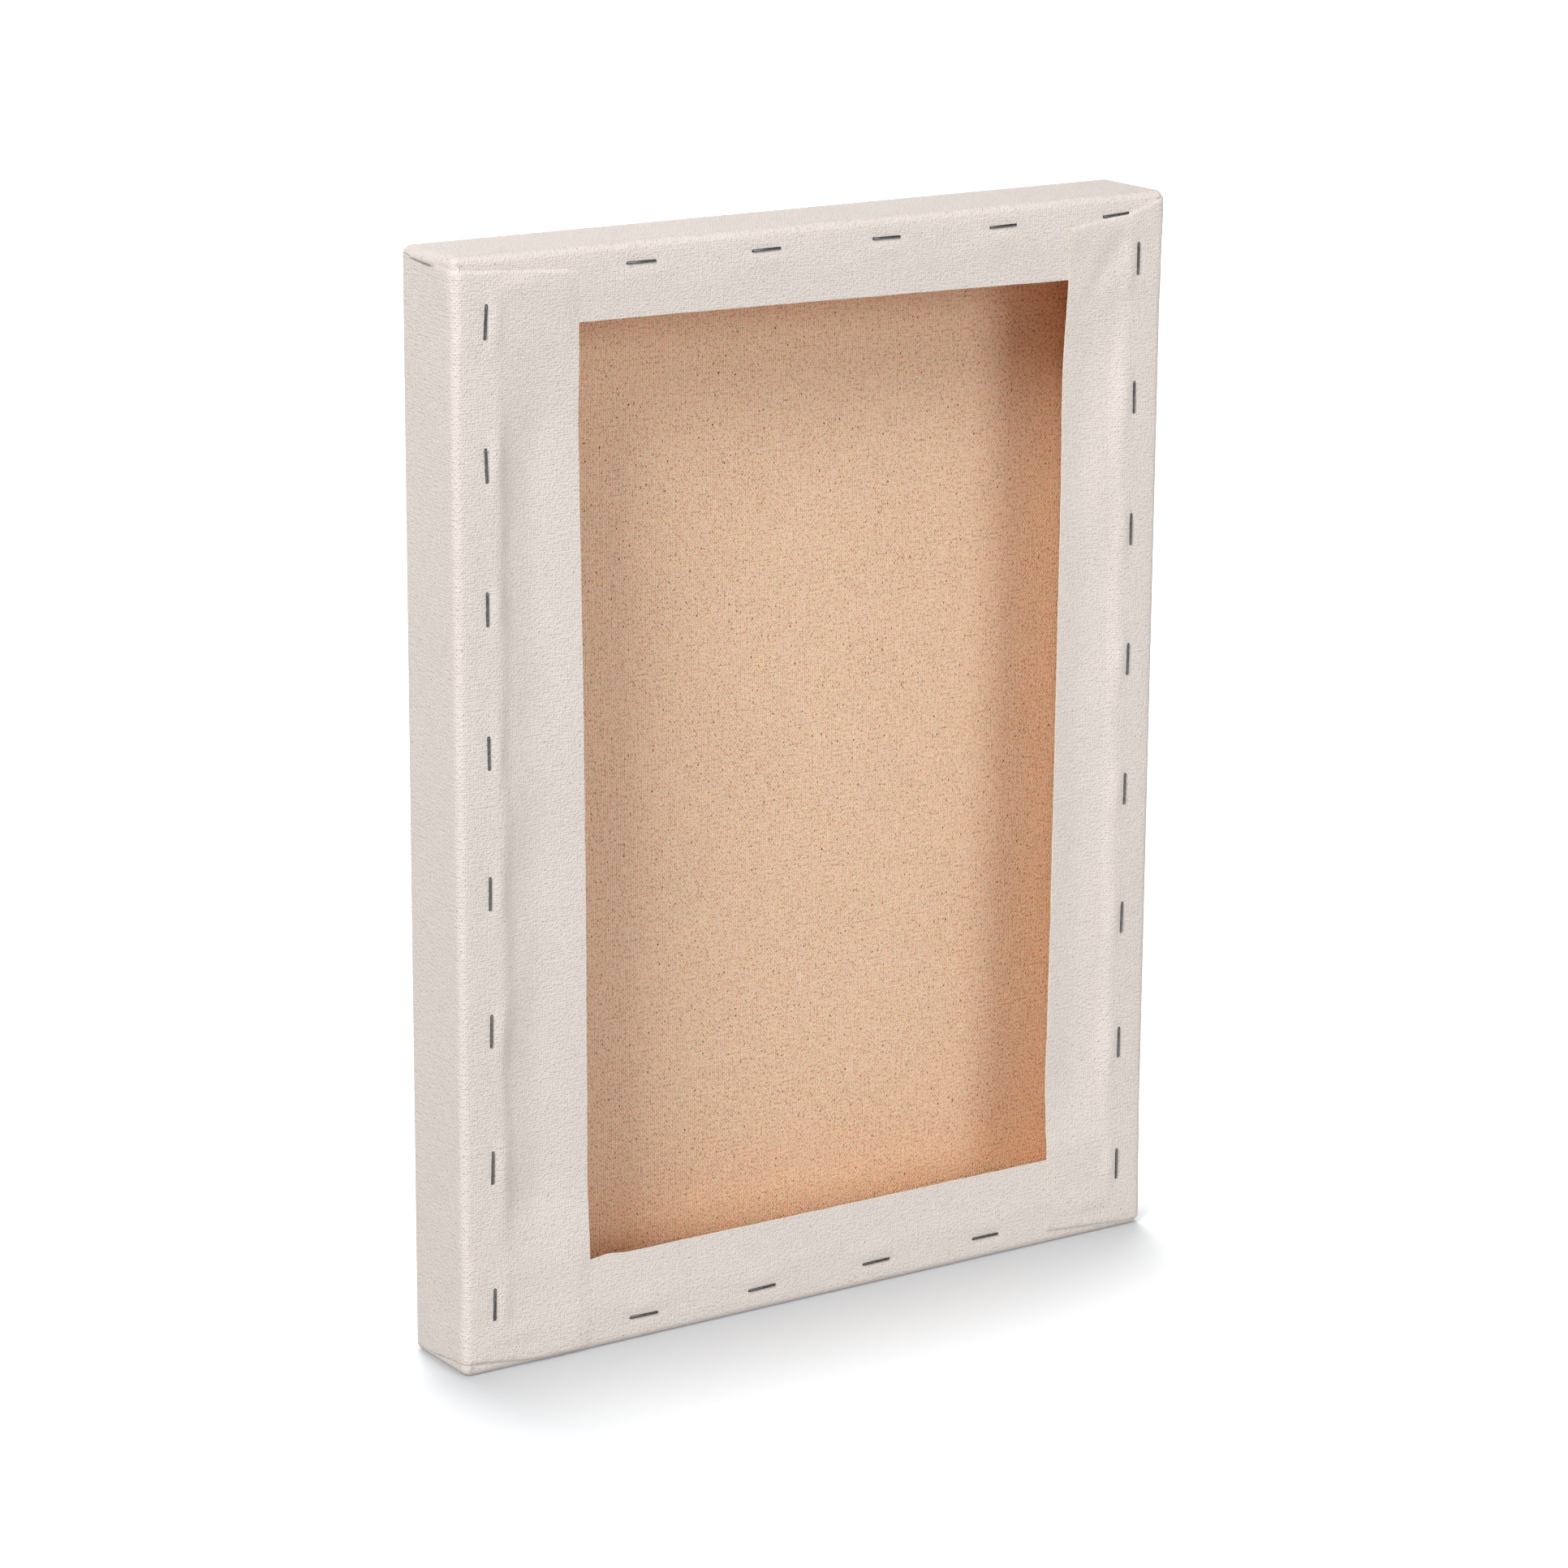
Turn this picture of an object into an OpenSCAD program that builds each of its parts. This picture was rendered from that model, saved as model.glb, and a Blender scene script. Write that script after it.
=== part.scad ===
// Stretched canvas: primed cloth pulled over four mitred stretcher bars and stapled on the back.
// Seen from behind, +X is right, +Z is up and +Y points to the painting face. Millimetres.
// The origin is at the bottom, in the middle of the width and of the depth.

/* [Stretcher bars] */
// Width of the bare frame over its outer sides
frame_w = 300; // [200:5:900]
// Height of the bare frame over its outer sides
frame_h = 400; // [200:5:1200]
// Depth of a bar from back to front
bar_d = 35; // [28:1:60]
// Width of a bar across its back
bar_w = 18; // [16:1:26]
// Width of the front lip that carries the cloth
lip_w = 4; // [2.5:0.5:8]
// Drop of the front from the lip to the inner edge
front_fall = 3; // [1:0.5:5]
// Rounding of the outer long edges
arris_r = 2.5; // [0.5:0.1:3]
// Rounding of the frame's four outer corners
corner_r = 2.5; // [0.5:0.1:4]
// Rounding of the inner back edge
inner_r = 1; // [0.4:0.1:2]

/* [Corner joints] */
// Thickness of a slot, of which each bar end has one beside its tongue
slot_t = 7; // [4:0.5:9]
// Play of a tongue in the thickness of its slot
tongue_play = 0.2; // [0.1:0.05:0.5]
// Distance by which a tongue stops short of the outer side
tongue_short = 1; // [0.5:0.1:3]

/* [Cloth] */
// Thickness of the primed cloth
cloth_t = 0.6; // [0.4:0.05:0.8]

/* [Flaps on the back] */
// Width of the left flap at its top end
left_top = 48; // [34:0.5:70]
// Width of the left flap at its bottom end
left_bottom = 51; // [34:0.5:70]
// Width of the right flap at its top end
right_top = 43; // [34:0.5:70]
// Width of the right flap at its bottom end
right_bottom = 45.5; // [34:0.5:70]
// Width of the top flap at its left end
top_left = 25.5; // [22:0.5:60]
// Width of the top flap at its right end
top_right = 31; // [22:0.5:60]
// Width of the bottom flap at its left end
bottom_left = 34.5; // [22:0.5:60]
// Width of the bottom flap at its right end
bottom_right = 33.5; // [22:0.5:60]

/* [Corner folds] */
// Setback of every folded edge from the end of the cloth, at the corner
fold_out = 3.2; // [1:0.1:5]
// Setback of the top left folded edge at its inner end
fold_top_left = 6; // [3:0.5:14]
// Setback of the top right folded edge at its inner end
fold_top_right = 11; // [3:0.5:14]
// Setback of the bottom left folded edge at its inner end
fold_bottom_left = 3.5; // [3:0.5:14]
// Setback of the bottom right folded edge at its inner end
fold_bottom_right = 5; // [3:0.5:14]
// Run of the slope at the outer edge of a folded corner
fold_rise = 3; // [1.5:0.1:6]
// Run of the slope where a side flap steps down off the flap beneath it
step_run = 10; // [4:0.5:20]

/* [Staples] */
// Width of a staple over its crown
staple_w = 12.6; // [10:0.1:14]
// Length of a staple's legs
staple_leg = 10; // [6:0.5:14]
// Width of the wire
wire_w = 0.95; // [0.7:0.05:1.3]
// Thickness of the wire
wire_t = 0.65; // [0.4:0.05:0.7]
// Outer rounding of a staple's shoulders
shoulder_r = 0.8; // [0.3:0.1:1.2]
// Distance between neighbouring staples
staple_pitch = 50.5; // [30:0.5:80]
// Least distance from the middle of the end staple to the corner of the frame
staple_end = 20; // [18:0.5:40]
// Distance of the side rows from the edge of the cloth
side_line = 12.3; // [5:0.1:15]
// Distance of the top row from the edge of the cloth
top_line = 7.5; // [5:0.1:12]
// Distance of the bottom row from the edge of the cloth
bottom_line = 8.8; // [5:0.1:12]

/* [Hidden] */
$fn = 64;

// The corners are three layers deep: the flap beneath, the turned-in edge and the flap on top
fold_t = 2 * cloth_t;
out_w = frame_w + 2 * cloth_t;
out_h = frame_h + 2 * cloth_t;
// Depths along Y, with the whole part centred on the origin
whole_d = wire_t + fold_t + cloth_t + bar_d + cloth_t;
front_y = whole_d / 2;
back_y = front_y - cloth_t - bar_d;
// Depths of the corner joint's layers, from the back of the bars
cheek_d = (bar_d - 2 * slot_t) / 2;
// Reach of a cut past the face that it opens
over = 5;

// Number of staples in a row along a bar, and the place of each from the bar's middle
function row_count(length) = floor((length - 2 * staple_end) / staple_pitch) + 1;
function row_places(length) =
    [for (i = [0 : row_count(length) - 1]) (i - (row_count(length) - 1) / 2) * staple_pitch];

// A point given by its distances from the side and from the end of the cloth's outline
function from_corner(side, top, a, b) = [side * (out_w / 2 - a), top ? out_h - b : b];

// Width of the flap that lies under a side flap, at the staple row of that side
function under_flap(side, top) =
    let (left_end = top ? top_left : bottom_left, right_end = top ? top_right : bottom_right)
    left_end + (right_end - left_end) * (side < 0 ? side_line : out_w - side_line) / out_w;

// Height of the folded corner over the plain flap, at a distance from the end of the cloth
function fold_height(side, top, b) =
    fold_t * max(0, min(1, (under_flap(side, top) + step_run - b) / step_run));

// Height of the cloth under the crown of a side staple, at the end of the crown nearer a corner
function side_lift(side, z) =
    cloth_t + max(fold_height(side, false, z - staple_w / 2),
                  fold_height(side, true, out_h - z - staple_w / 2));

// An outline in X and Z, raised from depth y towards the back
module plate(y, t) {
    translate([0, y, 0]) rotate([90, 0, 0]) linear_extrude(t) children();
}

// An outline in Y and Z, run along X
module along_x(length) {
    translate([-length / 2, 0, 0]) rotate([90, 0, 90]) linear_extrude(length) children();
}

// What a square corner loses when it is rounded; dx and dy point into the material
module corner_loss(x, y, dx, dy, r) {
    translate([x, y]) difference() {
        translate([dx > 0 ? -over : -r, dy > 0 ? -over : -r]) square(r + over);
        translate([dx * r, dy * r]) circle(r);
    }
}

// Outline of the frame, or of the cloth round it, with its four corners rounded
module round_outline(w, h, r) {
    difference() {
        translate([-w / 2, (out_h - h) / 2]) square([w, h]);
        for (x = [-1, 1], z = [-1, 1])
            corner_loss(x * w / 2, (out_h + z * h) / 2, -x, -z, r);
    }
}

// Section of a bar: distance from the outer side by depth from the back
module bar_section() {
    difference() {
        polygon([[0, 0], [bar_w, 0], [bar_w, bar_d - front_fall], [lip_w, bar_d], [0, bar_d]]);
        corner_loss(0, 0, 1, 1, arris_r);
        corner_loss(0, bar_d, 1, -1, arris_r);
        corner_loss(bar_w, 0, -1, 1, inner_r);
    }
}

// Plan of a bar whose outer side lies along the first axis: mitred, tongued or cut back
module mitre_plan(length) {
    polygon([[-length / 2, 0], [length / 2, 0], [length / 2 - bar_w, bar_w], [-length / 2 + bar_w, bar_w]]);
}

module square_plan(length) {
    translate([-length / 2, 0]) square([length, bar_w]);
}

// A bar along X with its outer side down; the tongue is in the slot layer with the given number
module plain_bar(length, tongue_layer) {
    tongue_d = cheek_d + tongue_layer * slot_t + tongue_play / 2;
    intersection() {
        along_x(length) translate([back_y, 0]) mirror([1, -1]) bar_section();
        union() {
            plate(back_y + cheek_d, cheek_d + over) mitre_plan(length);
            plate(back_y + bar_d + over, cheek_d + over) mitre_plan(length);
            plate(back_y + bar_d + over, bar_d + 2 * over) square_plan(length - 2 * bar_w);
            plate(back_y + tongue_d + slot_t - tongue_play, slot_t - tongue_play)
                square_plan(length - 2 * tongue_short);
        }
    }
}

// One staple: crown flat on the cloth at the given lift over the bars, legs running forward
module staple(lift) {
    translate([0, back_y - lift, -wire_w / 2]) linear_extrude(wire_w) difference() {
        translate([-staple_w / 2, -wire_t]) square([staple_w, wire_t + staple_leg]);
        translate([-staple_w / 2 + wire_t, 0]) square([staple_w - 2 * wire_t, staple_leg + over]);
        corner_loss(-staple_w / 2, -wire_t, 1, 1, shoulder_r);
        corner_loss(staple_w / 2, -wire_t, -1, 1, shoulder_r);
    }
}

module level_row(z) {
    for (x = row_places(frame_w)) translate([x, 0, z]) staple(cloth_t);
}

module upright_row(side) {
    for (place = row_places(frame_h)) {
        z = out_h / 2 + place;
        translate([side * (out_w / 2 - side_line), 0, z]) rotate([0, 90, 0]) staple(side_lift(side, z));
    }
}

module all_staples() {
    level_row(out_h - top_line);
    level_row(bottom_line);
    upright_row(-1);
    upright_row(1);
}

// A solid block with all its edges rounded, from the given back depth to its front
module rounded_block(w, h, y, d, r, plan_r) {
    intersection() {
        plate(y + d + over, d + 2 * over) round_outline(w, h, plan_r);
        along_x(w) difference() {
            translate([y, (out_h - h) / 2]) square([d, h]);
            for (z = [(out_h - h) / 2, (out_h + h) / 2], end = [y, y + d])
                corner_loss(end, z, end > y ? -1 : 1, z > out_h / 2 ? -1 : 1, r);
        }
        linear_extrude(out_h + over) difference() {
            translate([-w / 2, y]) square([w, d]);
            for (x = [-w / 2, w / 2], end = [y, y + d])
                corner_loss(x, end, x > 0 ? -1 : 1, end > y ? -1 : 1, r);
        }
    }
}

// Outline of a side flap and of an end flap on the back
module side_flap(side, bottom, top) {
    polygon([from_corner(side, false, 0, 0), from_corner(side, false, bottom, 0),
             from_corner(side, true, top, 0), from_corner(side, true, 0, 0)]);
}

module end_flap(top, left, right) {
    polygon([from_corner(-1, top, 0, 0), from_corner(1, top, 0, 0),
             from_corner(1, top, 0, right), from_corner(-1, top, 0, left)]);
}

module back_opening() {
    difference() {
        translate([-out_w / 2, 0]) square([out_w, out_h]);
        side_flap(-1, left_bottom, left_top);
        side_flap(1, right_bottom, right_top);
        end_flap(false, bottom_left, bottom_right);
        end_flap(true, top_left, top_right);
    }
}

// The side flap folded over the flap beneath it, at one corner of the back
module folded_corner(side, top, side_end, fold_in) {
    under = under_flap(side, top);
    outer = arris_r + cloth_t;
    low_y = back_y - cloth_t;
    high_y = low_y - fold_t;
    intersection() {
        plate(low_y, fold_t) polygon([
            from_corner(side, top, 0, fold_out),
            from_corner(side, top, side_end, fold_in),
            from_corner(side, top, side_end, under + step_run),
            from_corner(side, top, 0, under + step_run)]);
        plate(low_y, fold_t) side_flap(side, side < 0 ? left_bottom : right_bottom,
                                       side < 0 ? left_top : right_top);
        linear_extrude(out_h) polygon([
            [side * (out_w / 2 - outer), low_y],
            [side * (out_w / 2 - outer - fold_rise), high_y],
            [0, high_y],
            [0, low_y]]);
        along_x(out_w) polygon([
            [low_y, from_corner(side, top, 0, 0)[1]],
            [high_y, from_corner(side, top, 0, 0)[1]],
            [high_y, from_corner(side, top, 0, under)[1]],
            [low_y, from_corner(side, top, 0, under + step_run)[1]]]);
    }
}

// A bar in its place, with the frame's corners rounded and the staple holes cut
module finished_bar() {
    color("burlywood") difference() {
        intersection() {
            children();
            plate(back_y + bar_d + over, bar_d + 2 * over) round_outline(frame_w, frame_h, corner_r);
        }
        all_staples();
    }
}

module bar_bottom() {
    finished_bar() translate([0, 0, cloth_t]) plain_bar(frame_w, 0);
}

module bar_top() {
    finished_bar() translate([0, 0, out_h - cloth_t]) mirror([0, 0, 1]) plain_bar(frame_w, 0);
}

// The upright bars are the same bar, stood on end, with the tongue in the other layer
module upright_bar(side) {
    translate([side * frame_w / 2, 0, out_h / 2]) rotate([0, side * -90, 0]) plain_bar(frame_h, 1);
}

module bar_left() {
    finished_bar() upright_bar(-1);
}

module bar_right() {
    finished_bar() upright_bar(1);
}

module cloth() {
    color([0.87, 0.84, 0.82]) difference() {
        union() {
            difference() {
                rounded_block(out_w, out_h, back_y - cloth_t, bar_d + 2 * cloth_t,
                              arris_r + cloth_t, corner_r + cloth_t);
                rounded_block(frame_w, frame_h, back_y, bar_d, arris_r, corner_r);
                plate(back_y + cloth_t, 3 * cloth_t) back_opening();
            }
            folded_corner(-1, true, left_top, fold_top_left);
            folded_corner(1, true, right_top, fold_top_right);
            folded_corner(-1, false, left_bottom, fold_bottom_left);
            folded_corner(1, false, right_bottom, fold_bottom_right);
        }
        all_staples();
    }
}

module staples_top() {
    color("dimgray") level_row(out_h - top_line);
}

module staples_bottom() {
    color("dimgray") level_row(bottom_line);
}

module staples_left() {
    color("dimgray") upright_row(-1);
}

module staples_right() {
    color("dimgray") upright_row(1);
}

bar_top();
bar_bottom();
bar_left();
bar_right();
cloth();
staples_top();
staples_bottom();
staples_left();
staples_right();
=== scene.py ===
import math

import bmesh
import bpy
from mathutils import Matrix, Quaternion, Vector, noise


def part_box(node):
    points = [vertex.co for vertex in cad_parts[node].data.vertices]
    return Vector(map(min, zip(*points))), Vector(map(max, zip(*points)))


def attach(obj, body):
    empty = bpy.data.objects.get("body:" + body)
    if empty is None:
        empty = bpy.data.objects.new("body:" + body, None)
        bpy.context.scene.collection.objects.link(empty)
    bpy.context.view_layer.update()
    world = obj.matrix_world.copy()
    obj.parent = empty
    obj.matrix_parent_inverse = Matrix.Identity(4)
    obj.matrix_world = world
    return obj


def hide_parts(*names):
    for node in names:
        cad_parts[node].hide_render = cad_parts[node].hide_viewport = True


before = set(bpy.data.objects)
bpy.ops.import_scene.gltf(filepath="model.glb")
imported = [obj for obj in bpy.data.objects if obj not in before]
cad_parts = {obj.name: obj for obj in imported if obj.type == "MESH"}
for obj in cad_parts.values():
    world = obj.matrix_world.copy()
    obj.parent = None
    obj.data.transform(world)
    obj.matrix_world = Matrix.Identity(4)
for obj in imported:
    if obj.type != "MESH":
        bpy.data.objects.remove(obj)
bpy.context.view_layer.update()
scene = bpy.context.scene
mm = 0.001
near = 1e-3      # mm, for finding points by their place
hair = 1e-4      # mm, for merging points
print("frame loaded:", sorted(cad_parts))


viewpoint = {
    "place": (-0.9891, -1.4769, 0.6717),   # metres
    "yaw": 33.69,                          # degrees from +Y towards +X
    "pitch": 15.06,                        # degrees below level
    "roll": 0.35,
    "lens": 116.1,
    "sensor": 36,                          # mm
}


def makeCamera(s):
    yaw = math.radians(s["yaw"])
    pitch = math.radians(s["pitch"])
    ahead = Vector((math.sin(yaw) * math.cos(pitch), math.cos(yaw) * math.cos(pitch), -math.sin(pitch)))
    roll = Quaternion((0, 0, 1), math.radians(s["roll"]))
    data = bpy.data.cameras.new("viewCamera")
    data.lens = s["lens"]
    data.sensor_width = s["sensor"]
    camera = bpy.data.objects.new("viewCamera", data)
    camera.location = s["place"]
    camera.rotation_mode = "QUATERNION"
    camera.rotation_quaternion = ahead.to_track_quat("-Z", "Y") @ roll
    scene.collection.objects.link(camera)
    scene.camera = camera


makeCamera(viewpoint)
print("camera set")


def ease(value, start, end):
    t = min(max((value - start) / (end - start), 0.0), 1.0)
    return t * t * (3 - 2 * t)


def hump(distance, width):
    return math.exp(-(distance / width) ** 2)


def through(points, value):
    # straight runs between (place, amount) points
    if value <= points[0][0]:
        return points[0][1]
    for (a, low), (b, high) in zip(points, points[1:]):
        if value <= b:
            return low + (high - low) * (value - a) / (b - a)
    return points[-1][1]


# lengths in mm, on the middle of the cloth's thickness unless a note says otherwise
cloth = {
    "thick": 0.5,
    "bend": 2.8,                 # radius round an arris
    "bendRows": 8,
    "sideRows": 12,
    "rowGap": 2.6,               # along the bars
    "sideEnds": (0, 1.0, 2.4, 4.2),                       # closer rows by the upright arrises
    "foldEnds": (0, 0.3, 0.7, 1.2, 2.0, 3.2, 4.8, 6.8),   # and by the folded edges
    "flapRows": (1.4, 2.3, 24),  # gap up to 24 mm from the outer edge, and gap beyond it
    # flap widths from the outer face: at the low end, in the middle, at the high end of each edge
    "flaps": {
        "left": (52.6, 52.4, 49.2),
        "right": (45.3, 43.2, 43.2),
        "top": (25.7, 27.7, 30.8),
        "bottom": (34.4, 33.7, 33.5),
    },
    "cutWaves": ((0.12, 9, 0.7), (0.08, 2.7, 5.2)),   # of the cut edges: amount, length, seed
    "nick": (0.9, 60, 4.5),      # small step in the bottom flap's cut edge: depth, place, half width
    "barWidth": 18.0,
    # where a side flap rides over the level wraps, and how it comes down past them
    "layer": 0.50,               # one more thickness of cloth underneath
    "layerOnSide": (9, 26),      # from the end of the bar
    "layerOnBack": (0.5, 13),    # from the cut edge of the flap underneath
    "hem": 0.15,                 # extra height where a flap is folded double
    "hemEnd": (9, 20),
    "tuck": 6.0,                 # how far the level wraps go down behind the upright ones
    "tuckRows": (0.25, 0.25, 0.5),
    "seam": (8.0, 14.0),         # along the sheet, where a corner's layers start to part and have parted
    # height of a folded edge over the last level row, by place along the sheet from the face
    "foldLines": {
        "left top": ((4, 0.3), (8, 0.0), (20, -1.2), (33, -1.0), (40, -1.6), (44, -2.0), (86, -4.5)),
        "right top": ((4, 0.3), (12, 1.0), (33, 1.2), (38, 0.2), (44, -1.6), (52, -3.9), (65, -5.4),
                      (81, -7.8)),
        "left bottom": ((4, 0.3), (12, 0.9), (33, -1.5), (40, -1.8), (55, 0.2), (66, 1.8), (88, 2.0)),
        "right bottom": ((4, 0.3), (12, 0.8), (33, 1.4), (40, 1.2), (48, 0.6), (62, -0.6), (80, -1.9)),
    },
    "foldReach": 26,             # the rows beside a folded edge follow it this far
    # how flat the cloth is pressed where it ends on another layer: share at flap edges, mm at folds
    "edgePress": {"left": 0.93, "right": 0.2},
    "edgeRun": 6,
    "foldPress": {               # on the side of the canvas, then on its back
        "left top": (0.42, 0.57),
        "right top": (0.3, 0.3),
        "left bottom": (0.6, 0.42),
        "right bottom": (0.42, 0.60),
    },
    "foldRun": 1.3,
    # on the left side the top's cloth laps over the side's: where it starts and ends, along the sheet
    "topOver": (8, 10, 22, 30),
    "underLift": 1.6,            # how far the side's cloth goes up under it
    # the lap's edge is turned under: level against the fold line and height of its last three rows
    "turnedRows": ((-0.3, 0.32), (0.1, -0.15), (-1.2, -0.3)),
    "turnedRise": (0.3, 3.0),    # below the top, where the lap rises to its edge
    # the flaps sink behind the bars
    "droop": {
        "upright": 2.6,                  # past the upright bars
        "back": 0.8,                     # how much of that comes back
        "level": 0.7,                    # past the level bars
        "wander": (1.8, 28, 5.7, 8.6),   # of the ridge along the bar: amount, length, two seeds
        "uneven": (0.9, 36, 2.4, 3.1),   # of the depth, likewise
        "mean": 0.95,
        "calm": (0.85, 4, 22),           # less uneven at the cut edge: share, start, end
        "steep": (-2, 4.5),              # from the inner edge of the bar
        "tail": (0, 15),
        "comeBack": (12, 34),
        "levelRun": (14, 34),            # from the top or bottom
        "levelEnd": (14, 40),            # from the side
    },
    "cornerHold": (32, 64),      # from the ends of the upright bars, where the layers keep the flaps flat
    "reliefRun": 2,              # past the back arris, where the relief of the back is full
    # soft wrinkles: side, then (from the side, from the top) of both ends, height, half width
    "wrinkles": (
        ("right", (18, 13), (35, 41), -0.55, 3.4),
        ("right", (25, 12), (40, 36), 0.25, 3.0),
        ("right", (30, 70), (24, 118), 0.20, 4.0),
        ("left", (26, 226), (21, 262), -0.35, 2.6),
        ("left", (13, 332), (6, 352), -0.22, 2.2),
        ("left", (18, 330), (30, 356), -0.22, 3.0),
        ("left", (16, 128), (30, 150), 0.20, 3.0),
        ("left", (2, 1.6), (13, 6.4), -0.45, 0.9),
        ("left", (9, 395.5), (1.5, 400), -0.40, 0.9),
        ("right", (9, 395), (1.5, 399.5), -0.45, 0.9),
    ),
    "wrinkleReach": (9, 60),     # past the ends, and from the side
    "sideRipple": (0.10, 30, 45, 12),    # height, length across, length along, where it is full
    "onBar": ((1.5, 6), (-2, 3)),        # from the outer edge, then from the inner edge of the bar
    # slack between the staples: height, mean share, uneven share, length, seed
    "slack": (0.20, 0.7, 0.6, 16, 9.4),
    # the cloth stands up beside each staple: height, distance from the crown, half width
    "pucker": {"upright": (0.75, 3.8, 2.6), "level": (0.375, 4.2, 3.0)},
    "puckerLength": 9,
    "dent": (0.30, 1.5),         # under each crown: depth, half width
    "dentEnd": (5.2, 8.0),
    "stapleReach": 40,
}

stapleRows = {
    "wire": (1.08, 0.70),        # across, proud
    "round": 0.3,                # corners of the flat wire
    "roundSteps": 3,
    "crown": 12.6,
    "leg": 2.6,                  # through the cloth and just into the bar
    "shoulder": 1.0,
    "shoulderSteps": 5,
    "sunk": (0.10, 0.45),        # in the open, and under the side flaps
    "covered": {"top": (0,), "bottom": (0, 5)},
    "pitch": 50.5,
    # small slips of each staple along its row and its turn in degrees, from the low end
    "left": {
        "slip": (2.0, 2.6, 2.6, 2.2, 2.2, 2.6, 2.2, 1.2),
        "turn": (1.0, 1.5, 1.0, 0.6, -0.8, -0.5, -2.5, 3.2),
    },
    "right": {
        "slip": (2.6, 1.0, 0.2, 0.2, 0.0, -0.8, -1.6, -0.4),
        "turn": (0.5, -0.5, 1.0, 0.5, 0.8, -0.5, -1.0, 0.0),
    },
    "top": {"slip": (0.0, -0.2, 0.6, 1.0, 1.4, 1.8), "turn": (0, 0.6, -0.5, 0.8, -0.8, -2.7)},
    "bottom": {"slip": (0.0, 0.2, 0.9, 1.5, 1.2, 0.4), "turn": (0, 0.8, -0.8, -0.4, 0.5, 0)},
}

# parts of the sheet: 0 is its face, then come the wraps, the corners, and what is tucked in behind those
uprightSides = ("left", "right")
levelSides = ("top", "bottom")
wraps = uprightSides + levelSides
corners = [(level, side) for level in levelSides for side in uprightSides]
firstCorner = len(wraps) + 1
firstTucked = firstCorner + len(corners)

clothLow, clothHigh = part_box("cloth")
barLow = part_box("bar_left")[0]
halfWidth = clothHigh.x / mm - cloth["thick"] / 2
topZ = clothHigh.z / mm - cloth["thick"] / 2
bottomZ = clothLow.z / mm + cloth["thick"] / 2
middleZ = (topZ + bottomZ) / 2
frontY = clothHigh.y / mm - cloth["thick"] / 2
backY = barLow.y / mm - cloth["thick"] / 2
bend = cloth["bend"]
quarter = bend * math.pi / 2
sideRun = frontY - backY - 2 * bend
# places along the sheet count from the face's edge, and a function that takes one calls it a
backArris = quarter + sideRun
flapStart = 2 * quarter + sideRun          # the flat of the flap
outward = cloth["thick"] / 2 + bend        # from the outer face to the start of the flat
widest = {side: max(widths) for side, widths in cloth["flaps"].items()}


def staplePlaces():
    places = {}
    for side in wraps:
        row = stapleRows[side]
        low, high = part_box("staples_" + side)
        middle = middleZ if side in uprightSides else 0.0
        half = (len(row["slip"]) - 1) / 2
        spots = [middle + stapleRows["pitch"] * (i - half) + slip for i, slip in enumerate(row["slip"])]
        if side in uprightSides:
            x = (low.x + high.x) / 2 / mm
            places[side] = [(x, z, turn) for z, turn in zip(spots, row["turn"])]
        else:
            z = (low.z + high.z) / 2 / mm
            places[side] = [(x, z, turn) for x, turn in zip(spots, row["turn"])]
    return places


staples = staplePlaces()


def flapWidth(side, along):
    # along runs from 0 at the low end of the edge to 1 at its high end
    low, middle, high = cloth["flaps"][side]
    return low + (high - low) * along + (middle - (low + high) / 2) * 4 * along * (1 - along)


def acrossWidth(x):
    return (x + halfWidth) / (2 * halfWidth)


def upHeight(z):
    return (z - bottomZ) / (topZ - bottomZ)


def alongBar(settings, x, z):
    # slow changes along an upright bar, others on each side
    amount, length, side, layer = settings
    return amount * noise.noise(Vector((math.copysign(side, x), z / length, layer)))


def crease(across, down, start, end, width):
    run = Vector(end) - Vector(start)
    spot = Vector((across, down)) - Vector(start)
    t = spot.dot(run) / run.length_squared
    if t <= 0 or t >= 1:
        return 0.0   # beyond its ends
    return hump((spot - run * t).length, width) * math.sin(math.pi * t)


def droopBehind(x, z, fromSide, level):
    s = cloth["droop"]
    past = fromSide - cloth["barWidth"] + alongBar(s["wander"], x, z)
    share, start, end = s["calm"]
    swell = s["mean"] + alongBar(s["uneven"], x, z) * (1 - share * ease(past, start, end))
    drop = (ease(past, *s["steep"]) + ease(past, *s["tail"])) / 2      # steep by the bar, then a long tail
    sunk = s["upright"] * swell * drop - s["back"] * ease(past, *s["comeBack"])
    byLevelBars = s["level"] * ease(level, *s["levelRun"]) * ease(fromSide, *s["levelEnd"])
    return sunk * ease(level, *cloth["cornerHold"]) + byLevelBars


def stapleRelief(away, along, pucker, onBar):
    # away is towards the middle of the canvas, along is from the middle of the crown
    rise, distance, width = pucker
    depth, dentWidth = cloth["dent"]
    bulge = rise * hump(away - distance, width) * hump(along, cloth["puckerLength"])
    return bulge - depth * hump(away, dentWidth) * (1 - ease(along, *cloth["dentEnd"])) * onBar


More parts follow.
